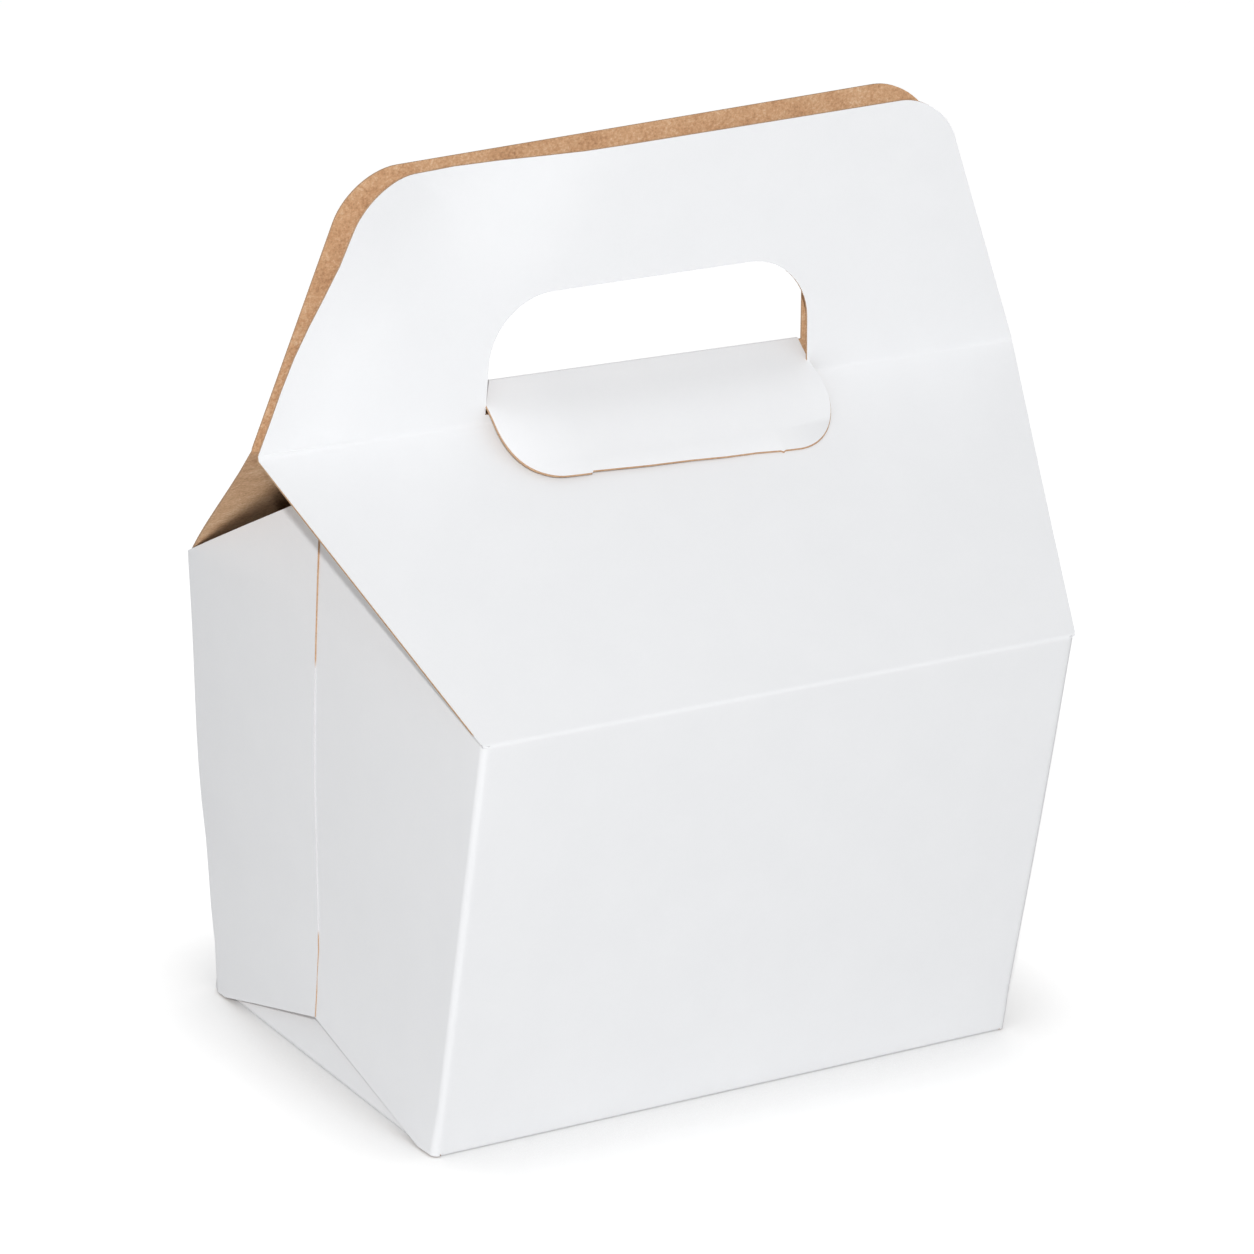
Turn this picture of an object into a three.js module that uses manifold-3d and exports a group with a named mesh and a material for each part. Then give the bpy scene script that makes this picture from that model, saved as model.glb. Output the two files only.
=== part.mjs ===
// A carry carton folded from one sheet of white-faced board: a tub with a pitched roof,
// two handle panels standing on the ridge, and a tongue that locks the panels together.
// X runs along the front wall, Y from front to back, Z up. The floor is at Z = 0.

import * as THREE from 'three';
import { mergeVertices } from 'three/addons/utils/BufferGeometryUtils.js';
import Module from 'manifold-3d';

const wasm = await Module();
wasm.setup();

// The sheet
const board = 0.5; // thickness of the board
const foldRadius = 0.9; // inside radius of every fold
const glueOverlap = 0.05; // how far two glued faces press into each other
const foldLap = 0.3; // how far a panel reaches into its neighbour's fold

// The tub
const baseLength = 150; // along X, over the end panels
const baseDepth = 98; // along Y, at the floor
const wallHeight = 101.5; // floor to the roof folds
const wallLean = 8; // front and back walls, degrees outward
const endLean = 0.5; // end panels, degrees outward

// The end panels: an outer flap from the back wall glued over an inner one from the front
const seamOffset = 8; // free edge of the outer flap, behind the middle
const seamLap = 9; // how far the inner flap runs on behind the outer one
const innerFlapBend = 28; // where the inner flap comes parallel again, short of the seam
const gableSlope = 30.4; // top edge of an end panel, degrees
const skirtSlope = 15; // lower free edge of an end panel, degrees
const skirtStart = 45; // where that free edge leaves the floor, from the middle
const cornerLift = 0.3; // the lowest edge of an end panel above the floor
const bottomFlapHeight = 28; // the flap folded up from the bottom panel
const bottomFlapInset = 4; // its ends, in from the corners of the base
const bottomFlapTaper = 10; // its side edges, degrees

// The roof and the handle panels
const roofSlope = 37.8; // degrees
const ridgeLength = 195; // the roof panels widen to this at the ridge
const ridgeGap = 4.2; // between the inside faces of the two handle panels
const handleHeight = 60.3; // ridge to the top edge
const handleTaper = 23; // side edges of a handle panel, degrees
const handleCorner = 17; // top corner radius
const frontHandleLean = 3; // degrees forward
const backHandleLean = 5; // degrees backward

// The hand hole of the front panel
const holeWidth = 83;
const holeTop = 28.2; // above the ridge
const holeCorner = 16; // upper corner radius
const holeFoot = 0.8; // lower edge above the ridge

// The tongue, cut out of the back panel's hand hole and folded forward through the front one
const tongueWidth = 81.4;
const tongueLength = 26.3;
const tongueCorner = 13.5; // radius of the two corners at its tip
const tongueFold = 6.7; // its fold line above the ridge
const tongueCut = 0.4; // width of the cut round it, and of the play at its fold
const tongueRest = 0.3; // its tip above the front roof

// Steps along each curve
const foldSteps = 3;
const cornerSteps = 12;

const rad = THREE.MathUtils.degToRad;
const tan = (degrees) => Math.tan(rad(degrees));
const xAxis = new THREE.Vector3(1, 0, 0);
const yAxis = new THREE.Vector3(0, 1, 0);
const zAxis = new THREE.Vector3(0, 0, 1);

// Sizes that follow from the ones above
const outerFold = foldRadius + board;
const halfLength = baseLength / 2;
const halfDepth = baseDepth / 2;
const halfTopDepth = halfDepth + wallHeight * tan(wallLean);
const halfTopLength = halfLength + wallHeight * tan(endLean);
const ridgeHalfGap = ridgeGap / 2 + board;
const ridgeHeight = wallHeight + (halfTopDepth - ridgeHalfGap) * tan(roofSlope);
const topHeight = ridgeHeight + handleHeight;
const skirtTop = cornerLift + (skirtStart - seamOffset) * tan(skirtSlope);
const gableTop = wallHeight + (halfTopDepth - seamOffset) * tan(gableSlope);

// The unit direction from one point to the next.
function heading(from, to) {
  return to.clone().sub(from).normalize();
}

// The same line moved sideways, to the left of its direction when distance is positive.
function offsetLine(points, distance) {
  return points.map((point, i) => {
    const before = heading(points[Math.max(i - 1, 0)], points[Math.max(i, 1)]);
    const last = points.length - 1;
    const after = heading(points[Math.min(i, last - 1)], points[Math.min(i + 1, last)]);
    const sum = new THREE.Vector2(-before.y - after.y, before.x + after.x);
    return point.clone().addScaledVector(sum, distance / (1 + before.dot(after)));
  });
}

// The points along a line whose corners are rounded, each with the radius that radiusAt gives.
function roundedLine(points, radiusAt, steps) {
  const path = new THREE.Path();
  path.moveTo(points[0].x, points[0].y);
  for (let i = 1; i < points.length - 1; i += 1) {
    const before = heading(points[i - 1], points[i]);
    const after = heading(points[i], points[i + 1]);
    const turn = Math.atan2(before.cross(after), before.dot(after));
    const radius = radiusAt(turn, i);
    if (radius > 0) {
      const reach = radius * Math.tan(Math.abs(turn) / 2);
      const start = points[i].clone().addScaledVector(before, -reach);
      const inward = new THREE.Vector2(-before.y, before.x).multiplyScalar(Math.sign(turn));
      const centre = start.clone().addScaledVector(inward, radius);
      const first = start.clone().sub(centre).angle();
      path.lineTo(start.x, start.y);
      path.absarc(centre.x, centre.y, radius, first, first + turn, turn < 0);
    } else {
      path.lineTo(points[i].x, points[i].y);
    }
  }
  const end = points[points.length - 1];
  path.lineTo(end.x, end.y);
  return path.getPoints(steps);
}

// The section of a folded sheet: points run along its outside face, and inside is 1 when
// the sheet's thickness lies to the left of them and -1 when it lies to the right.
function sheetSection(points, inside) {
  const fold = (towards) => (turn) => foldRadius + (turn * towards > 0 ? board : 0);
  const outer = roundedLine(points, fold(inside), foldSteps);
  const inner = roundedLine(offsetLine(points, inside * board), fold(-inside), foldSteps);
  return new THREE.Shape(outer.concat(inner.reverse()));
}

// A closed solid from a geometry, ready to be joined or cut.
function solid(geometry) {
  const bare = geometry.clone();
  bare.deleteAttribute('normal');
  bare.deleteAttribute('uv');
  const welded = mergeVertices(bare, 1e-5);
  return new wasm.Manifold(new wasm.Mesh({
    numProp: 3,
    vertProperties: new Float32Array(welded.attributes.position.array),
    triVerts: new Uint32Array(welded.index.array),
  }));
}

// A shape pushed from one place to another along the third of three directions.
function prism(shape, across, up, along, from, to) {
  const geometry = new THREE.ExtrudeGeometry(shape, {
    depth: to - from,
    bevelEnabled: false,
    curveSegments: cornerSteps,
  });
  geometry.translate(0, 0, from);
  geometry.applyMatrix4(new THREE.Matrix4().makeBasis(across, up, along));
  return geometry;
}

const alongX = (shape, from, to) => prism(shape, yAxis, zAxis, xAxis, from, to);
const alongZ = (shape, from, to) => prism(shape, xAxis, yAxis, zAxis, from, to);
const alongY = (shape, from, to) =>
  prism(shape, xAxis, zAxis, yAxis.clone().negate(), -to, -from);

function vectors(pairs) {
  return pairs.map(([x, y]) => new THREE.Vector2(x, y));
}

// A line mirrored to the other side of the middle and joined on, walked the same way round.
function mirrored(points) {
  const other = points.map((point) => new THREE.Vector2(-point.x, point.y));
  return points.concat(other.reverse());
}

// Front handle, front roof, front wall, bottom, back wall, back roof and back handle are one
// strip, drawn as its section in the YZ plane and cut to the outline seen from the front.
function mainStrip() {
  const over = handleHeight + board; // a little taller than the outline that trims it
  const frontTop = -ridgeHalfGap - over * tan(frontHandleLean);
  const backTop = ridgeHalfGap + over * tan(backHandleLean);
  const section = sheetSection(vectors([
    [frontTop, ridgeHeight + over],
    [-ridgeHalfGap, ridgeHeight],
    [-halfTopDepth, wallHeight],
    [-halfDepth, 0],
    [halfDepth, 0],
    [halfTopDepth, wallHeight],
    [ridgeHalfGap, ridgeHeight],
    [backTop, ridgeHeight + over],
  ]), 1);
  const trim = outerFold - foldLap; // the walls stop where their corner folds begin
  const half = vectors([
    [halfLength - trim, -board],
    [halfTopLength - trim, wallHeight - outerFold],
    [halfTopLength, wallHeight],
    [ridgeLength / 2, ridgeHeight],
    [ridgeLength / 2 - handleHeight * tan(handleTaper), topHeight],
    [0, topHeight],
  ]);
  const rounded = roundedLine(half, (turn, i) => (i === 4 ? handleCorner : 0), cornerSteps);
  const outline = new THREE.Shape(mirrored(rounded.slice(0, -1)));
  const reach = ridgeLength / 2 + board;
  const depth = halfTopDepth + board;
  return solid(alongX(section, -reach, reach))
    .intersect(solid(alongY(outline, -depth, depth)));
}

// A hand hole with square lower corners and round upper ones, cut through along Y.
function handHole(width, foot, top, corner, from, to) {
  const half = roundedLine(
    vectors([[width / 2, foot], [width / 2, top], [0, top]]),
    () => corner,
    cornerSteps,
  );
  return solid(alongY(new THREE.Shape(mirrored(half.slice(0, -1))), from, to));
}

// An end panel's half, folded round the corner of the tub from the front wall (face is -1)
// or the back wall (face is 1), at the left end (side is -1) or the right end (side is 1).
function sideFlap(side, face) {
  const inner = face < 0;
  const start = side * (halfLength - outerFold - foldLap);
  const freeEdge = inner ? seamOffset + seamLap : seamOffset;
  const reach = freeEdge + wallHeight * tan(wallLean) + halfDepth;
  const tuck = inner ? board - glueOverlap : 0; // the inner flap dips behind the outer one
  const line = vectors([
    [start, face * halfDepth],
    [side * halfLength, face * halfDepth],
    [side * (halfLength - tuck), seamOffset - innerFlapBend],
    [side * (halfLength - tuck), -face * reach],
  ]);
  if (!inner) {
    line.splice(2, 1);
  }
  const sheet = alongZ(sheetSection(line, -side * face), 0, gableTop);
  // Leans the corner with the wall that it comes from, and the whole panel outward.
  sheet.applyMatrix4(new THREE.Matrix4().set(
    1, 0, side * tan(endLean), 0,
    0, 1, face * tan(wallLean), 0,
    0, 0, 1, 0,
    0, 0, 0, 1,
  ));
  const shoulder = face * seamOffset; // where the gable edge and the skirt edge level off
  const corner = halfTopDepth + board;
  const hidden = vectors([
    [freeEdge, skirtTop],
    [freeEdge, gableTop - (freeEdge - seamOffset) * tan(gableSlope)],
    [seamOffset, gableTop],
  ]);
  const outline = new THREE.Shape([
    ...vectors([
      [face * corner, cornerLift],
      [face * skirtStart, cornerLift],
      [shoulder, skirtTop],
    ]),
    ...(inner ? hidden : []),
    ...vectors([
      [shoulder, gableTop],
      [face * halfTopDepth, wallHeight],
      [face * corner, wallHeight],
    ]),
  ]);
  const near = side * (halfLength - outerFold - board - foldLap);
  const far = side * (halfTopLength + outerFold);
  const cutter = alongX(outline, Math.min(near, far), Math.max(near, far));
  return solid(sheet).intersect(solid(cutter));
}

// The flap folded up from the bottom panel at one end, glued inside the two side flaps.
function bottomFlap(side) {
  const tuck = 2 * (board - glueOverlap);
  const line = vectors([
    [side * (halfLength - outerFold - foldLap), 0],
    [side * halfLength, 0],
    [side * (halfLength - tuck), skirtTop],
    [side * (halfLength - tuck), bottomFlapHeight],
  ]);
  const half = halfDepth - bottomFlapInset;
  const sheet = alongY(sheetSection(line, side), -half, half);
  // Leans outward with the end panel.
  sheet.applyMatrix4(new THREE.Matrix4().set(
    1, 0, side * tan(endLean), 0,
    0, 1, 0, 0,
    0, 0, 1, 0,
    0, 0, 0, 1,
  ));
  const top = half - bottomFlapHeight * tan(bottomFlapTaper);
  const outline = new THREE.Shape(mirrored(vectors([
    [half, -board],
    [half, outerFold],
    [top, bottomFlapHeight],
  ])));
  const near = side * (halfLength - outerFold - board - foldLap);
  const far = side * (halfTopLength + outerFold);
  const cutter = alongX(outline, Math.min(near, far), Math.max(near, far));
  return solid(sheet).intersect(solid(cutter));
}

// The whole sheet, with both hand holes cut.
function cartonSheet() {
  const depth = halfTopDepth + board;
  const foldHeight = ridgeHeight + tongueFold;
  const cutWidth = tongueWidth + 2 * tongueCut;
  const cutTop = foldHeight + tongueLength + tongueCut;
  const cutCorner = tongueCorner + tongueCut;
  let sheet = mainStrip()
    .subtract(handHole(
      holeWidth, ridgeHeight + holeFoot, ridgeHeight + holeTop, holeCorner, -depth, 0,
    ))
    .subtract(handHole(cutWidth, foldHeight, cutTop, cutCorner, 0, depth));
  for (const side of [-1, 1]) {
    sheet = sheet.add(bottomFlap(side));
    for (const face of [-1, 1]) {
      sheet = sheet.add(sideFlap(side, face));
    }
  }
  return sheet;
}

// A geometry from a joined or cut solid, with flat faces.
function geometryOf(manifold) {
  const mesh = manifold.getMesh();
  const geometry = new THREE.BufferGeometry();
  const positions = new THREE.BufferAttribute(new Float32Array(mesh.vertProperties), 3);
  geometry.setAttribute('position', positions);
  geometry.setIndex(new THREE.BufferAttribute(new Uint32Array(mesh.triVerts), 1));
  const flat = geometry.toNonIndexed();
  flat.computeVertexNormals();
  return flat;
}

// The tongue lies along -Y from its fold line, with its inside face at Z = 0.
function tongueGeometry() {
  const outline = roundedLine(
    vectors([
      [tongueWidth / 2, -tongueCut],
      [tongueWidth / 2, -tongueLength],
      [0, -tongueLength],
    ]),
    () => tongueCorner,
    cornerSteps,
  );
  return alongZ(new THREE.Shape(mirrored(outline.slice(0, -1))), 0, board);
}

// The fold line lies on the inside face of the back handle panel. The slope is the one that
// brings the tongue's tip down to the front roof.
const foldDepth = ridgeGap / 2 + tongueFold * tan(backHandleLean);
const foldAboveRoof = tongueFold * Math.cos(rad(roofSlope))
  - (foldDepth + ridgeHalfGap) * Math.sin(rad(roofSlope));
const tongueSlope = rad(roofSlope) + Math.asin((foldAboveRoof - tongueRest) / tongueLength);

const coatedBoard = new THREE.MeshStandardMaterial({
  color: 0xf1f2f4,
  roughness: 0.55,
  metalness: 0,
});
const tongueBoard = new THREE.MeshStandardMaterial({
  color: 0xeff0f2,
  roughness: 0.55,
  metalness: 0,
});

const carton = new THREE.Mesh(geometryOf(cartonSheet()), coatedBoard);
carton.name = 'carton';

const tongue = new THREE.Mesh(tongueGeometry(), tongueBoard);
tongue.name = 'lock_tongue';
tongue.position.set(0, foldDepth, ridgeHeight + tongueFold);
tongue.rotation.x = tongueSlope;

const carryCarton = new THREE.Group();
carryCarton.add(carton, tongue);

export default carryCarton;
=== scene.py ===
import math

import bmesh
import bpy
from mathutils import Matrix, Vector


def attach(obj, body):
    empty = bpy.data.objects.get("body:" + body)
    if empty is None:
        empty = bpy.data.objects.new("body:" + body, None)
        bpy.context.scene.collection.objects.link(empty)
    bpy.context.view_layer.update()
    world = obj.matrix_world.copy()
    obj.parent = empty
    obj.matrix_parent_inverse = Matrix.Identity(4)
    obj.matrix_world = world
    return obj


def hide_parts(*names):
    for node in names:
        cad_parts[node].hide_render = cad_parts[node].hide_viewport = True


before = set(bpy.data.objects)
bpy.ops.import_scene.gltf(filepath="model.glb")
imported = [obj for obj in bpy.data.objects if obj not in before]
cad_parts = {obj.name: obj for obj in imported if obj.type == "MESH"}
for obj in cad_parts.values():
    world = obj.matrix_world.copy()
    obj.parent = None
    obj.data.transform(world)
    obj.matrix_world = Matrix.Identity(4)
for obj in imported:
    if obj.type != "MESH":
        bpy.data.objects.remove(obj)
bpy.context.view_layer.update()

# Camera
# A long lens seen from the front left corner, a little above, with the picture turned
# slightly so that the upright edges lean to the right.
azimuth, elevation, roll = math.radians(-32.987), math.radians(21.195), math.radians(2.943)
look_at = Vector((-0.00052, 0.00034, 0.09355))
camera_distance = 1.4210
back = Vector((
    math.sin(azimuth) * math.cos(elevation),
    -math.cos(azimuth) * math.cos(elevation),
    math.sin(elevation),
))
right = Vector((math.cos(azimuth), math.sin(azimuth), 0))
up = back.cross(right)
camera_right = right * math.cos(roll) + up * math.sin(roll)
camera_up = up * math.cos(roll) - right * math.sin(roll)
camera = bpy.data.objects.new("camera", bpy.data.cameras.new("camera"))
focal_length_pixels, picture_width_pixels, sensor_width = 6380, 1254, 36
camera.data.lens = focal_length_pixels / picture_width_pixels * sensor_width
camera.data.clip_end = 50
camera_place = Matrix((camera_right, camera_up, back)).transposed().to_4x4()
camera_place.translation = look_at + back * camera_distance
camera.matrix_world = camera_place
bpy.context.scene.collection.objects.link(camera)
bpy.context.scene.camera = camera

# Folded sheet
# The carton is one blank of solid board, white outside and plain brown inside. The bottom
# carries a wall, a roof panel and a handle panel on each long side, joined by scored folds.
mm = 0.001
board = 0.5 * mm
half_length, half_depth, wall_height = 75 * mm, 49 * mm, 101.5 * mm
wall_lean, end_lean, roof_slope = math.radians(8), math.radians(0.5), math.radians(37.8)
ridge_half_length, ridge_half_gap = 97.5 * mm, 2.6 * mm
base_radius, eave_radius, crease_radius, corner_radius = 1.0 * mm, 1.1 * mm, 1.2 * mm, 1.6 * mm
half_top_depth = half_depth + wall_height * math.tan(wall_lean)
ridge_height = wall_height + (half_top_depth - ridge_half_gap) * math.tan(roof_slope)
handle_lean = {-1: math.radians(3), 1: math.radians(4.2)}
handle_shift = {-1: 0, 1: 1.3 * mm}  # the back panels have been pushed a little to the right


def pick(kind, test=lambda middle: True, bare=False):
    """Selects only the points, edges or faces whose middle passes a test on its place.

    Where bare is true, they are only those that carry no face yet.
    """
    bpy.ops.mesh.select_mode(type=kind)
    bpy.ops.mesh.select_all(action="DESELECT")
    mesh = bmesh.from_edit_mesh(bpy.context.object.data)
    for part in {"VERT": mesh.verts, "EDGE": mesh.edges, "FACE": mesh.faces}[kind]:
        corners = [part] if kind == "VERT" else part.verts
        if part.hide or bare and part.link_faces:
            continue
        if test(sum((c.co for c in corners), Vector()) / len(corners)):
            part.select_set(True)
    bmesh.update_edit_mesh(bpy.context.object.data)


def push(x, y, z, widen=1):
    """Extrudes what is selected, then widens its new end about the middle."""
    bpy.ops.mesh.extrude_region_move(TRANSFORM_OT_translate={"value": (x, y, z)})
    if widen != 1:
        bpy.ops.transform.resize(value=(widen, 1, 1), center_override=(0, 0, 0))


def edit(piece):
    bpy.ops.object.select_all(action="DESELECT")
    piece.select_set(True)
    bpy.context.view_layer.objects.active = piece
    bpy.ops.object.mode_set(mode="EDIT")


def fold(angle, center, axis, steps=4):
    """Rolls the selected edges round a line, right-handed about axis. spin turns the other way."""
    bpy.ops.mesh.spin(steps=steps, angle=-angle, center=center, axis=axis)


wall_half = half_length - corner_radius
wall_turn = math.pi / 2 - wall_lean
eave_turn = math.pi / 2 + wall_lean - roof_slope
base_reach = base_radius * math.tan(wall_turn / 2)
eave_reach = eave_radius * math.tan(eave_turn / 2)
bottom_half = half_depth - base_reach
bpy.ops.object.select_all(action="DESELECT")
bpy.ops.mesh.primitive_plane_add(size=2)
sheet = bpy.context.object
sheet.name = "folded_sheet"
edit(sheet)
bpy.ops.transform.resize(value=(wall_half, bottom_half, 1), center_override=(0, 0, 0))

# The walls stand on rounded folds of the bottom and lean out.
wall_run = wall_height / math.cos(wall_lean) - base_reach - eave_reach
wall_foot_z = base_reach * math.cos(wall_lean)
wall_top_half = wall_half + (wall_height - eave_reach) * math.tan(end_lean)
for face in (-1, 1):
    pick("EDGE", lambda p: p.y * face > bottom_half - mm / 100)
    fold(face * wall_turn, (0, face * bottom_half, base_radius), (1, 0, 0))
    push(
        0, face * wall_run * math.sin(wall_lean), wall_run * math.cos(wall_lean),
        widen=wall_top_half / wall_half,
    )

# Side flaps: every wall runs on round its corners into two flaps that make half of each end.
# The back wall's flaps lie outside and are glued over the front wall's.
seam, seam_lap = 7 * mm, 10 * mm
gable_slope = math.radians(30.4)
gable_top = wall_height + (half_top_depth - seam) * math.tan(gable_slope)
flap_lift = 0.3 * mm
outer_stand_off, inner_play = 0.15 * mm, 0.02 * mm
spare = 2 * mm  # that the trims take off again
# Each flap's lower edge leaves the table at skirt_start from the middle and slants up to the seam.
skirt_start = {-1: 44 * mm, 1: 45.4 * mm}
skirt_slope = {-1: math.radians(13.8), 1: math.radians(17.2)}
wall_foot_y = half_depth + base_reach * math.sin(wall_lean)


def trim(point, normal):
    """Cuts what is selected along a plane and drops the side that the normal points to."""
    bpy.ops.mesh.bisect(plane_co=point, plane_no=normal, clear_outer=True)


for side in (-1, 1):
    for face in (-1, 1):
        at_end = lambda p: p.x * side > wall_half + mm / 100
        upright = Vector((side * math.tan(end_lean), face * math.tan(wall_lean), 1))
        inward = Vector((0, -face * math.cos(wall_lean), math.sin(wall_lean)))
        pick("EDGE", lambda p: at_end(p) and p.z > wall_foot_z and p.y * face > half_depth)
        foot = Vector((side * wall_half, face * wall_foot_y, wall_foot_z))
        fold(
            -side * face * math.pi / 2, foot + inward * corner_radius, upright.normalized(),
            steps=6,
        )
        outer = face > 0
        push(
            side * outer_stand_off if outer else -side * (board + inner_play),
            -face * (half_top_depth + (spare - seam if outer else seam + seam_lap + spare)),
            0,
        )
        pick("EDGE", lambda p: at_end(p) and p.z < wall_foot_z + mm / 2)
        push(*(upright * (flap_lift - wall_foot_z)))
        pick("EDGE", lambda p: at_end(p) and p.z > wall_height - mm)
        push(*(upright * (gable_top - wall_height + spare)))
        free = seam if outer else seam + seam_lap
        for point, normal in (
            ((0, free, 0), (0, -face, 0)),
            ((0, 0, gable_top), (0, 0, 1)),
            ((0, half_top_depth, wall_height), (0, math.sin(gable_slope), math.cos(gable_slope))),
            ((0, -half_top_depth, wall_height), (0, -math.sin(gable_slope), math.cos(gable_slope))),
            (
                (0, face * skirt_start[face], flap_lift),
                (0, -face * math.sin(skirt_slope[face]), -math.cos(skirt_slope[face])),
            ),
        ):
            pick("FACE", at_end)
            trim(point, normal)
        pick("FACE", at_end)
        bpy.ops.mesh.hide()
bpy.ops.mesh.reveal()

# Roof panels: each wall's board folds in at the eave and slopes up to the ridge, where the
# handle panels stand up. The panels widen on the way, and their ends stay clear of the side
# flaps, which slope less, so that steam can leave between them.
eave_inset = {-1: 0, 1: 1.3 * mm}  # the ends of the back roof's eave
lip = 0.3 * mm  # of plain board between the eave's fold and the roof's flare
roof_run = (half_top_depth - ridge_half_gap) / math.cos(roof_slope)
eave_half = half_length + wall_height * math.tan(end_lean)
for face in (-1, 1):
    crease_turn = math.pi / 2 + handle_lean[face] - roof_slope
    crease_reach = crease_radius * math.tan(crease_turn / 2)
    inward = Vector((0, -face * math.cos(wall_lean), math.sin(wall_lean)))
    outward = Vector((0, face * math.sin(roof_slope), math.cos(roof_slope)))
    along = Vector((0, -face * math.cos(roof_slope), math.sin(roof_slope)))
    eave = Vector((0, face * half_top_depth, wall_height))
    ridge = Vector((0, face * ridge_half_gap, ridge_height))
    down_wall = Vector((0, -face * math.sin(wall_lean), -math.cos(wall_lean)))
    wall_end = eave + down_wall * eave_reach
    pick("EDGE", lambda p: (p - wall_end).length < mm / 10)
    fold(face * eave_turn, wall_end + inward * eave_radius, (1, 0, 0))
    tip_half = eave_half - eave_inset[face]
    for row in (1, 2, 3, 4):
        turned = Matrix.Rotation(face * eave_turn * row / 4, 4, "X")
        middle = wall_end + inward * eave_radius - turned @ (inward * eave_radius)
        pick("EDGE", lambda p: (p - middle).length < mm / 10)
        bpy.ops.transform.resize(
            value=((tip_half / wall_top_half) ** min(1, row / 2), 1, 1),
            center_override=(0, 0, 0),
        )
    lip_half = tip_half + (ridge_half_length - tip_half) * (eave_reach + lip) / roof_run
    push(*(along * lip), widen=lip_half / tip_half)
    push(
        *(along * (roof_run - eave_reach - lip - crease_reach)),
        widen=ridge_half_length / lip_half,
    )
    bpy.ops.transform.translate(value=(handle_shift[face], 0, 0))
    roof_end = ridge - along * crease_reach
    fold(-face * crease_turn, roof_end + outward * crease_radius, (1, 0, 0))

# The whole sheet so far is ruled into a net of small faces, so that it can be bent later.
columns = 24
for face in (-1, 1):
    for column in range(1, columns):
        x = ridge_half_length * (2 * column / columns - 1) + handle_shift[face]
        pick("FACE", lambda p: p.y * face > -mm)
        bpy.ops.mesh.bisect(plane_co=(x, 0, 0), plane_no=(1, 0, 0))
for z in range(4, 148, 8):
    pick("FACE")
    bpy.ops.mesh.bisect(plane_co=(0, 0, z * mm), plane_no=(0, 0, 1))
bpy.ops.object.mode_set(mode="OBJECT")

# Handle panels: each is cut with a hand hole and has round top corners. The net of faces
# runs in rings from the hole's edge to the panel's, so that it bends evenly.
handle_height, handle_taper = 60.1 * mm, math.radians(23)
handle_corner = 17 * mm
top_rise = {-1: (-1.5 * mm, 1.9 * mm), 1: (-2.2 * mm, 2.2 * mm)}  # at the left and right corners
holes = {  # left, right, foot and top edges, and the radius of the upper corners
    -1: (-41.7 * mm, 41.6 * mm, 2 * mm, 28.6 * mm, 15.2 * mm),
    1: (-42 * mm, 42 * mm, 6.7 * mm, 34.4 * mm, 14.6 * mm),
}
hole_lean = {-1: -2.6 * mm, 1: 0}  # of the right edge, over its height
hole_tilt = {-1: 0, 1: math.radians(0.9)}  # of the foot, down to the right


def stretch_of(p, foot, hole_top, round_by, corners):
    """Which stretch of a panel's or its hole's edge p is on: foot, top, or a side or corner."""
    outer = abs(p.x) > 50 * mm or p.z > 45 * mm
    if p.z < foot / 2 or not outer and p.z < foot + 2 * mm and abs(p.x) < 41 * mm:
        return 0
    (left_x, left_z), (right_x, right_z) = corners
    slope = (right_z - left_z) / (right_x - left_x)
    if p.z > (left_z + slope * (p.x - left_x) if outer else hole_top) - mm / 200:
        return 1
    drop = corner_reach * math.cos(handle_taper) if outer else round_by
    on_side = p.z < ((right_z if p.x > 0 else left_z) if outer else hole_top) - drop
    return (2 if on_side else 3) + (2 if p.x > 0 else 0)


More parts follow.
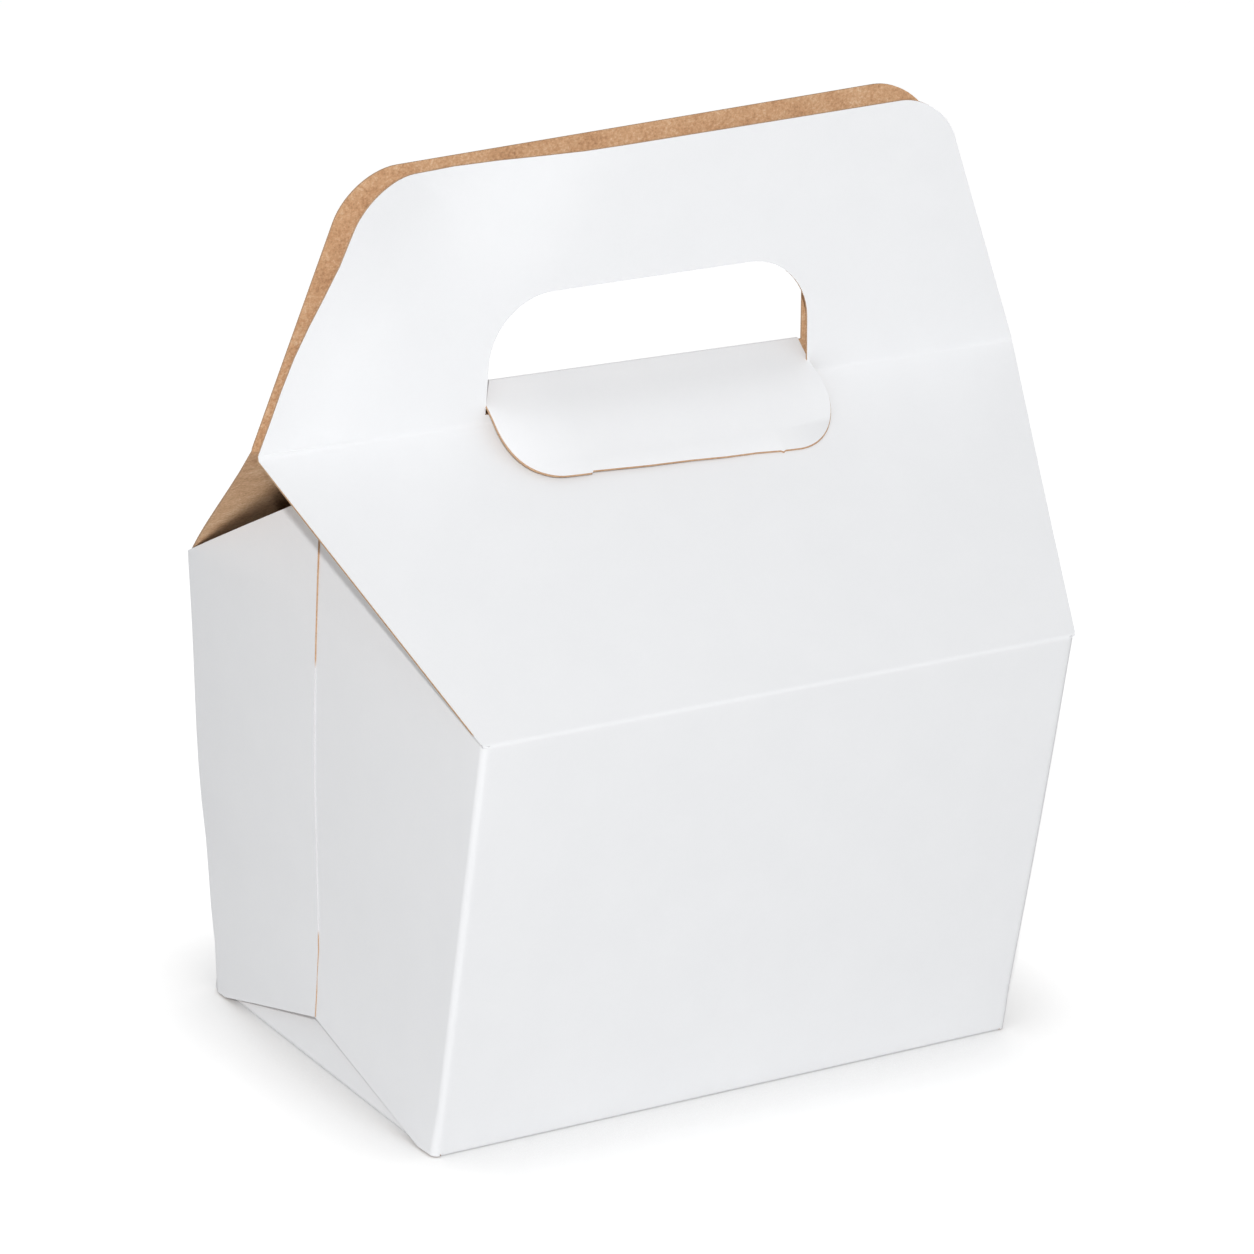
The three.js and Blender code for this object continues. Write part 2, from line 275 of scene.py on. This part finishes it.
corner_reach = handle_corner * math.tan(math.pi / 4 - handle_taper / 2)
for face in (-1, 1):
    crease_turn = math.pi / 2 + handle_lean[face] - roof_slope
    crease_reach = crease_radius * math.tan(crease_turn / 2)
    high = handle_height - crease_reach
    top_half = ridge_half_length - high * math.tan(handle_taper)
    left, right_edge, low, top, round_by = holes[face]
    bpy.ops.object.select_all(action="DESELECT")
    bpy.ops.mesh.primitive_plane_add(
        size=1, location=(0, 0, 0.5), rotation=(math.pi / 2, 0, 0),
    )
    bpy.ops.object.transform_apply()
    panel = bpy.context.object
    edit(panel)
    bpy.ops.transform.resize(value=(2 * ridge_half_length, 1, high), center_override=(0, 0, 0))
    pick("EDGE", lambda p: p.z > high - mm)
    bpy.ops.transform.resize(
        value=(top_half / ridge_half_length, 1, 1), center_override=(0, 0, 0),
    )
    corners = []
    for end, rise in zip((-1, 1), top_rise[face]):
        inwards = -end * rise * math.tan(handle_taper)
        pick("VERT", lambda p: p.z > high - 3 * mm and p.x * end > 0)
        bpy.ops.transform.translate(value=(inwards, 0, rise))
        corners.append((end * top_half + inwards, high + rise))
    pick("VERT", lambda p: p.z > high - 3 * mm)
    bpy.ops.mesh.bevel(offset=corner_reach, segments=14, affect="VERTICES")
    bpy.ops.mesh.select_all(action="DESELECT")
    bpy.ops.mesh.primitive_plane_add(
        size=1, location=(0, 0, 0.5), rotation=(math.pi / 2, 0, 0),
    )
    bpy.ops.transform.resize(
        value=(right_edge - left, 1, top - low), center_override=(0, 0, 0),
    )
    bpy.ops.transform.translate(value=((left + right_edge) / 2, 0, low - crease_reach))
    at_hole_top = lambda p: abs(p.z - top + crease_reach) < mm / 100 and abs(p.x) < 50 * mm
    pick("VERT", lambda p: at_hole_top(p) and p.x > 0)
    bpy.ops.transform.translate(value=(hole_lean[face], 0, 0))
    pick("VERT", at_hole_top)
    bpy.ops.mesh.bevel(offset=round_by, segments=14, affect="VERTICES")
    pick("FACE")
    bpy.ops.mesh.delete(type="ONLY_FACE")
    foot = low - crease_reach
    hole_side = foot + (top - low - round_by) / 2
    for cuts, test in (
        (11, lambda p: abs(p.z - high) < mm / 2 and abs(p.x) < 5 * mm),
        (11, lambda p: abs(p.z - foot - top + low) < mm / 10 and abs(p.x) < 5 * mm),
        (6, lambda p: abs(p.x) > 80 * mm),
        (6, lambda p: abs(p.x) < 45 * mm and abs(p.z - hole_side) < mm / 10),
        (columns - 1, lambda p: abs(p.z - foot) < mm / 10 and abs(p.x) < 5 * mm),
        (columns - 1, lambda p: abs(p.z) < mm / 10 and abs(p.x) < 5 * mm),
    ):
        pick("EDGE", test)
        bpy.ops.mesh.subdivide(number_cuts=cuts)
    pick("VERT", lambda p: abs(p.z - foot) < mm / 10 and abs(p.x) < 50 * mm)
    bpy.ops.transform.rotate(
        value=-hole_tilt[face], orient_axis="Y", center_override=(-handle_shift[face], 0, foot),
    )
    for stretch in range(6):
        pick(
            "EDGE", lambda p: stretch_of(p, foot, foot + top - low, round_by, corners) == stretch,
            bare=True,
        )
        bpy.ops.mesh.bridge_edge_loops(number_cuts=7, smoothness=0, interpolation="LINEAR")
    pick("VERT")
    bpy.ops.mesh.remove_doubles(threshold=mm / 100)
    bpy.ops.object.mode_set(mode="OBJECT")
    panel.data.transform(
        Matrix.Translation((handle_shift[face], face * ridge_half_gap, ridge_height))
        @ Matrix.Rotation(-face * handle_lean[face], 4, "X")
        @ Matrix.Translation((0, 0, crease_reach))
    )
    panel.select_set(True)
    sheet.select_set(True)
    bpy.context.view_layer.objects.active = sheet
    bpy.ops.object.join()

# The panels are joined along the folds, with their white face outwards.
edit(sheet)
pick("VERT")
bpy.ops.mesh.remove_doubles(threshold=mm / 100)
pick("FACE")
bpy.ops.mesh.normals_make_consistent(inside=False)
bpy.ops.mesh.flip_normals()


def bend(place, move, reach, only=lambda middle: True):
    """Pulls the sheet near a place, and less and less up to reach away, as hands have done."""
    pick("FACE", lambda middle: not only(middle))
    bpy.ops.mesh.hide()
    pick("VERT", lambda p: (p - Vector(place)).length < 4 * mm)
    bpy.ops.transform.translate(
        value=move, use_proportional_edit=True, proportional_edit_falloff="SMOOTH",
        proportional_size=reach,
    )
    bpy.ops.mesh.reveal(select=False)


# Hands have bent the board a little out of true. The back left corner bulges, the front
# handle curls back at its top left, and the seam of the side flaps curves to the front.
def on_handle(face):
    return lambda p: p.z > ridge_height + 2 * mm and p.y * face > 0


def on_outer_flap(side):
    return lambda p: p.x * side > half_length - mm / 2 and p.y > seam - 2 * mm and p.z < gable_top


back_left_eave = (-75.9 * mm, half_top_depth, wall_height)
back_left_edge = (-75.6 * mm, 55 * mm, 44 * mm)
front_right_edge = (75.6 * mm, -56 * mm, 50 * mm)
front_handle_top = (-52 * mm, -5.8 * mm, 207.3 * mm)
front_handle_side = (-89 * mm, -3.7 * mm, 170 * mm)
bend(back_left_eave, (-1.6 * mm, 1.6 * mm, 0), 80 * mm)
bend(back_left_edge, (-1.5 * mm, 0.75 * mm, 0), 50 * mm)
bend(front_right_edge, (0.8 * mm, 0, 0), 90 * mm)
bend(front_handle_top, (0, 3.8 * mm, 0), 36 * mm, on_handle(-1))
bend(front_handle_side, (0, 2.2 * mm, 0), 26 * mm, on_handle(-1))
for side in (-1, 1):
    seam_foot = (side * 75.9 * mm, seam, 11 * mm)
    bend(seam_foot, (0, -4 * mm, 0), 70 * mm, on_outer_flap(side))

# The lower edges of the side flaps stand out a little from the flap behind them.
skirt_stand_off, skirt_reach = {1: 0.7 * mm, -1: 0.9 * mm}, 16 * mm
skirt_end = 43 * mm  # short of the rounded corner
outer_flap_end = -8 * mm  # past the free edge of the outer flap, even where its seam curves
for side in (-1, 1):
    pick("FACE", lambda p: p.x * side < wall_half + mm / 100)
    bpy.ops.mesh.hide()
    for face in (1, -1):
        pick("VERT", lambda p: (
            p.y * face < skirt_end
            and (p.x * side > half_length and p.y > outer_flap_end) == (face > 0)
            and p.z < mm + (skirt_start[face] - p.y * face) * math.tan(skirt_slope[face])
        ))
        bpy.ops.transform.translate(
            value=(side * skirt_stand_off[face], 0, 0), use_proportional_edit=True,
            proportional_edit_falloff="SMOOTH", proportional_size=skirt_reach,
            use_proportional_connected=True,
        )
    bpy.ops.mesh.reveal(select=False)

# Bottom end flaps: the sheet's bottom folds up at both ends, inside the side flaps, which are
# glued to them. Their foot leans in and shows white under the side flaps' slanting edges.
flap_half, flap_top_half = 45 * mm, 40 * mm
flap_play, flap_radius, flap_turn = 0.4 * mm, mm, math.radians(108)
foot_height, foot_lean = 10.5 * mm, 3.4 * mm
glued_height, glued_lean = 16.5 * mm, -2.2 * mm
for side in (-1, 1):
    pick(
        "EDGE",
        lambda p: p.x * side > wall_half - mm / 10 and abs(p.z) < mm / 10 and abs(p.y) < mm,
    )
    push(side * flap_play, 0, 0)
    bpy.ops.transform.resize(value=(1, flap_half / bottom_half, 1), center_override=(0, 0, 0))
    flap_axis = (side * (wall_half + flap_play), 0, flap_radius)
    fold(-side * flap_turn, flap_axis, (0, 1, 0), steps=6)
    push(-side * foot_lean, 0, foot_height)
    push(-side * glued_lean, 0, glued_height)
    bpy.ops.transform.resize(value=(1, flap_top_half / flap_half, 1), center_override=(0, 0, 0))
bpy.ops.object.mode_set(mode="OBJECT")

# The board: white coating on the outer face, brown kraft within and along every cut edge.
class Shade:
    """A value in a material's nodes. Sums and products of such values add Math nodes."""

    def __init__(self, tree, socket=None):
        self.tree = tree
        self.socket = socket

    def node(self, kind, settings=None, values=None, output=0):
        """Adds a node, sets it up, and gives one of its outputs."""
        made = self.tree.nodes.new(kind)
        for name, value in (settings or {}).items():
            if name == "stops":
                while len(made.color_ramp.elements) < len(value):
                    made.color_ramp.elements.new(0.5)
                for element, (at, color) in zip(made.color_ramp.elements, value):
                    element.position = at
                    element.color = (*color, 1)
            else:
                setattr(made, name, value)
        for name, value in (values or {}).items():
            if isinstance(value, Shade):
                self.tree.links.new(value.socket, made.inputs[name])
            else:
                made.inputs[name].default_value = value
        return None if output is None else Shade(self.tree, made.outputs[output])

    def math(self, operation, first, second):
        return self.node("ShaderNodeMath", {"operation": operation}, {0: first, 1: second})

    def __add__(self, other):
        return self.math("ADD", self, other)

    def __sub__(self, other):
        return self.math("SUBTRACT", self, other)

    def __rsub__(self, other):
        return self.math("SUBTRACT", other, self)

    def __mul__(self, other):
        return self.math("MULTIPLY", self, other)

    __radd__ = __add__
    __rmul__ = __mul__


def new_finish(name):
    """An empty material, its tree, and the place of each point on the piece."""
    finish = bpy.data.materials.new(name)
    finish.use_nodes = True
    finish.node_tree.nodes.clear()
    tree = Shade(finish.node_tree)
    return finish, tree, tree.node("ShaderNodeTexCoord", output="Object")


def specks(tree, place, size, stretch=(1, 1, 1), detail=2.0):
    """Noise between 0 and 1 whose spots are about size metres wide."""
    spread = tree.node(
        "ShaderNodeVectorMath", {"operation": "MULTIPLY"}, {0: place, 1: stretch},
    )
    return tree.node(
        "ShaderNodeTexNoise", {}, {"Vector": spread, "Scale": 1 / size, "Detail": detail},
    )


def mix(tree, amount, first, second):
    return tree.node(
        "ShaderNodeMix", {"data_type": "RGBA"}, {0: amount, 6: first, 7: second}, output=2,
    )


def finish_off(tree, color, roughness, height, depth):
    """Ends a material with its surface shader, bumped by height times depth metres."""
    normal = tree.node(
        "ShaderNodeBump", {}, {"Height": height, "Distance": depth, "Strength": 1.0},
    )
    surface = tree.node(
        "ShaderNodeBsdfPrincipled", {},
        {
            "Base Color": color, "Roughness": roughness, "Normal": normal,
            "Specular IOR Level": 0.3,
        },
    )
    tree.node("ShaderNodeOutputMaterial", {}, {"Surface": surface}, output=None)


coating, tree, place = new_finish("white_clay_coating")
cloud = specks(tree, place, 14 * mm, detail=3.0)
tooth = specks(tree, place, 0.9 * mm, detail=3.0)
color = mix(tree, cloud * 0.7 + tooth * 0.3, (0.800, 0.808, 0.824, 1), (0.845, 0.852, 0.866, 1))
finish_off(tree, color, 0.7 + 0.1 * cloud, tooth * 0.5 + cloud, 0.03 * mm)

kraft, tree, place = new_finish("brown_kraft")
cloud = specks(tree, place, 6 * mm, detail=3.0)
pulp = specks(tree, place, 0.8 * mm, (0.9, 1, 1), detail=4.0)
fiber = specks(tree, place, 0.36 * mm, (0.8, 1, 1), detail=2.0)
mottle = cloud * 0.3 + pulp * 0.4 + fiber * 0.3
color = tree.node(
    "ShaderNodeValToRGB",
    {"stops": [
        (0.34, (0.44, 0.245, 0.130)),
        (0.46, (0.62, 0.370, 0.205)),
        (0.54, (0.71, 0.455, 0.265)),
        (0.68, (0.88, 0.660, 0.460)),
    ]},
    {"Fac": mottle},
)
finish_off(tree, color, 0.86, pulp + fiber, 0.08 * mm)

# The cut edge is brown kraft too, but the knife has drawn the coating over it halfway up the
# walls, and the folds have at the eaves.
core, tree, place = new_finish("cut_edge_of_board")
fluff = specks(tree, place, 0.5 * mm, detail=2.0)
drawn = specks(tree, place, 7 * mm, detail=1.0)
depth = tree.node("ShaderNodeSeparateXYZ", values={0: place}, output="Y")
height = tree.node("ShaderNodeSeparateXYZ", values={0: place}, output="Z")
halfway = tree.math("ABSOLUTE", height - 63 * mm, 0)
above_eave = tree.math("ABSOLUTE", height - wall_height, 0)
from_eave = tree.math("MAXIMUM", above_eave * 4, half_depth - tree.math("ABSOLUTE", depth, 0))
coated = tree.math("MAXIMUM", 33 * mm - halfway, 10 * mm - from_eave)
per_metre = 400  # how sharply white turns to brown
brown = mix(tree, fluff, (0.34, 0.180, 0.095, 1), (0.66, 0.450, 0.290, 1))
color = mix(tree, coated * per_metre + 4 * drawn - 2, brown, (0.66, 0.66, 0.67, 1))
finish_off(tree, color, 0.9, fluff, 0.05 * mm)
for finish in (coating, kraft, core):
    sheet.data.materials.append(finish)


def thicken(piece, thickness):
    """Gives a sheet its thickness, behind its white face, with kraft there and at its rim."""
    bpy.ops.object.select_all(action="DESELECT")
    piece.select_set(True)
    bpy.context.view_layer.objects.active = piece
    bpy.ops.object.modifier_add(type="SOLIDIFY")
    solidify = piece.modifiers[-1]
    solidify.thickness = thickness
    solidify.offset = -1
    solidify.material_offset = 1
    solidify.material_offset_rim = 2
    bpy.ops.object.modifier_apply(modifier=solidify.name)
    bpy.ops.object.shade_smooth_by_angle(angle=math.radians(35))


thicken(sheet, board)
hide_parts("carton")
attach(sheet, "carton")

# Lock tongue
# A flap cut out of the back handle's hand hole, still joined along the hole's lower edge.
# It is folded forward through the front handle's hole and lies white side up on the roof.
hinge = Vector((0, 2.6862 * mm, 155.2568 * mm))  # where the frame has the joint
tongue_left, tongue_right, tongue_reach = -41.5 * mm, 43.1 * mm, 26.2 * mm
tongue_slope, tongue_tilt, tip_tilt = math.radians(41.6), math.radians(0.9), 0.026
fold_radius, fold_turn, tongue_board = 0.5 * mm, math.radians(136), 0.38 * mm
root_length, root_inset = 7 * mm, 0.9 * mm  # at the right, where the tongue is narrower
rim_slant, arch = 0.16 * mm, 1.1 * mm
bpy.ops.object.select_all(action="DESELECT")
bpy.ops.mesh.primitive_plane_add(size=1, location=(0, -0.5, 0))
tongue = bpy.context.object
bpy.ops.object.transform_apply()
tongue.name = "tongue_flap"
for finish in (coating, kraft, core):
    tongue.data.materials.append(finish)
edit(tongue)
bpy.ops.transform.resize(
    value=(tongue_right - tongue_left, tongue_reach, 1), center_override=(0, 0, 0),
)
bpy.ops.transform.translate(value=((tongue_left + tongue_right) / 2, 0, fold_radius))
for corner_x, radius in ((tongue_left, 13.6 * mm), (tongue_right, 12.4 * mm)):
    pick("VERT", lambda p: abs(p.x - corner_x) < mm / 10 and p.y < -20 * mm)
    bpy.ops.transform.translate(value=(0, -tip_tilt * corner_x, 0))
    bpy.ops.mesh.bevel(offset=radius, segments=16, affect="VERTICES")

# The cut along its tip is rougher where two bridges held it in the blank, and steps there.
for x in (-22.2, -21.8, -8, 3, 12, 20, 26, 26.6, 27.2):
    pick("FACE")
    bpy.ops.mesh.bisect(plane_co=(x * mm, 0, 0), plane_no=(1, 0, 0))
for x, step in ((-21.8, 0.5), (-8, 0.25), (3, 0.3), (12, 0.12), (20, 0.22), (26.6, -0.35)):
    pick("VERT", lambda p: abs(p.x - x * mm) < mm / 10 and p.y < -tongue_reach + 3 * mm)
    bpy.ops.transform.translate(value=(0, step * mm, 0))
for y in range(-22, 0, 2):
    pick("FACE")
    bpy.ops.mesh.bisect(plane_co=(0, y * mm, 0), plane_no=(0, 1, 0))

# It narrows at the right towards the fold, where it goes through the front panel's hole.
pick("VERT", lambda p: p.x > tongue_right - mm / 10 and p.y > -root_length)
bpy.ops.transform.translate(
    value=(-root_inset, 0, 0), use_proportional_edit=True, proportional_edit_falloff="SMOOTH",
    proportional_size=root_length,
)
pick("EDGE", lambda p: abs(p.y) < mm / 100)
fold(-fold_turn, (0, 0, 0), (1, 0, 0), steps=8)

# Its cut edge slants out a little under the white face, so that a brown line shows along the
# left side and the tip, and hardly at the right.
pick("FACE", lambda p: p.y > 0)
bpy.ops.mesh.hide()
bpy.ops.mesh.select_mode(type="EDGE")
bpy.ops.mesh.select_all(action="DESELECT")
bpy.ops.mesh.select_non_manifold()
push(0, 0, -rim_slant)
bpy.ops.transform.resize(
    value=(1.0045, 1.0115, 1), center_override=(tongue_right - 20 * mm, 0, 0),
)
pick("FACE", lambda p: p.z < fold_radius - mm / 50)
tongue.active_material_index = 2
bpy.ops.object.material_slot_assign()
bpy.ops.mesh.reveal(select=False)

# It arches a little between the fold and the tip.
pick("VERT", lambda p: abs(p.y + 12 * mm) < mm / 2)
bpy.ops.transform.translate(
    value=(0, 0, arch), use_proportional_edit=True, proportional_edit_falloff="SMOOTH",
    proportional_size=12.5 * mm,
)
pick("FACE")
bpy.ops.mesh.normals_make_consistent(inside=False)
bpy.ops.object.mode_set(mode="OBJECT")
tongue.data.transform(
    Matrix.Translation(hinge) @ Matrix.Rotation(tongue_tilt, 4, "Y")
    @ Matrix.Rotation(tongue_slope, 4, "X")
)
thicken(tongue, tongue_board)
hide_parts("lock_tongue")
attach(tongue, "tongue")

# Light
# A white surround, dimmer overhead, and a small lamp above the camera and very slightly to its
# left. The lamp grazes the left end, which comes out darkest. The camera sees plain white behind.
world = bpy.data.worlds.new("surround")
bpy.context.scene.world = world
world.use_nodes = True
world.node_tree.nodes.clear()
tree = Shade(world.node_tree)


def seen(tree):
    """1 where the camera looks, directly or in a mirror or through glass, and 0 for light."""
    return (
        tree.node("ShaderNodeLightPath", output="Is Camera Ray")
        + tree.node("ShaderNodeLightPath", output="Is Glossy Ray")
        + tree.node("ShaderNodeLightPath", output="Is Transmission Ray")
    )


way_up = tree.node(
    "ShaderNodeSeparateXYZ",
    values={0: tree.node("ShaderNodeTexCoord", output="Generated")}, output="Z",
)
glow = 0.56 - 0.24 * way_up
surround = tree.node(
    "ShaderNodeBackground", {},
    {"Color": (1, 1, 1, 1), "Strength": glow + seen(tree) * (1 - glow)},
)
tree.node("ShaderNodeOutputWorld", {}, {"Surface": surround}, output=None)
lamp = bpy.data.objects.new("small_lamp", bpy.data.lights.new("small_lamp", "AREA"))
lamp.data.size = 0.07
lamp.data.energy = 44
lamp_azimuth, lamp_elevation, lamp_distance = math.radians(-34.2), math.radians(27.6), 2.6
lamp.location = look_at + lamp_distance * Vector((
    math.sin(lamp_azimuth) * math.cos(lamp_elevation),
    -math.cos(lamp_azimuth) * math.cos(lamp_elevation),
    math.sin(lamp_elevation),
))
lamp.rotation_mode = "QUATERNION"
lamp.rotation_quaternion = (lamp.location - look_at).to_track_quat("Z", "Y")
bpy.context.scene.collection.objects.link(lamp)
bpy.context.scene.view_settings.view_transform = "Standard"

# Floor
# A plain white table top. It adds its own white only for the camera, and less of it close
# under the carton, so that a soft shadow is painted there on top of the floor's real shade.
bpy.ops.object.select_all(action="DESELECT")
bpy.ops.mesh.primitive_plane_add(size=12)
floor = bpy.context.object
floor.name = "floor"
table_top, tree, place = new_finish("white_table_top")
# Painted shadow: ambient occlusion dims the camera's white close under the carton.
painted_shadow_open_air = tree.node(
    "ShaderNodeAmbientOcclusion", {"samples": 5}, {"Distance": 40 * mm}, output="AO",
)
surface = tree.node(
    "ShaderNodeBsdfPrincipled", {},
    {
        "Base Color": (0.75, 0.75, 0.75, 1),
        "Roughness": 1.0,
        "Specular IOR Level": 0.0,
        "Emission Color": mix(
            tree, seen(tree) * painted_shadow_open_air * painted_shadow_open_air, (0, 0, 0, 1), (0.6, 0.6, 0.6, 1),
        ),
        "Emission Strength": 1.0,
    },
)
tree.node("ShaderNodeOutputMaterial", {}, {"Surface": surface}, output=None)
floor.data.materials.append(table_top)
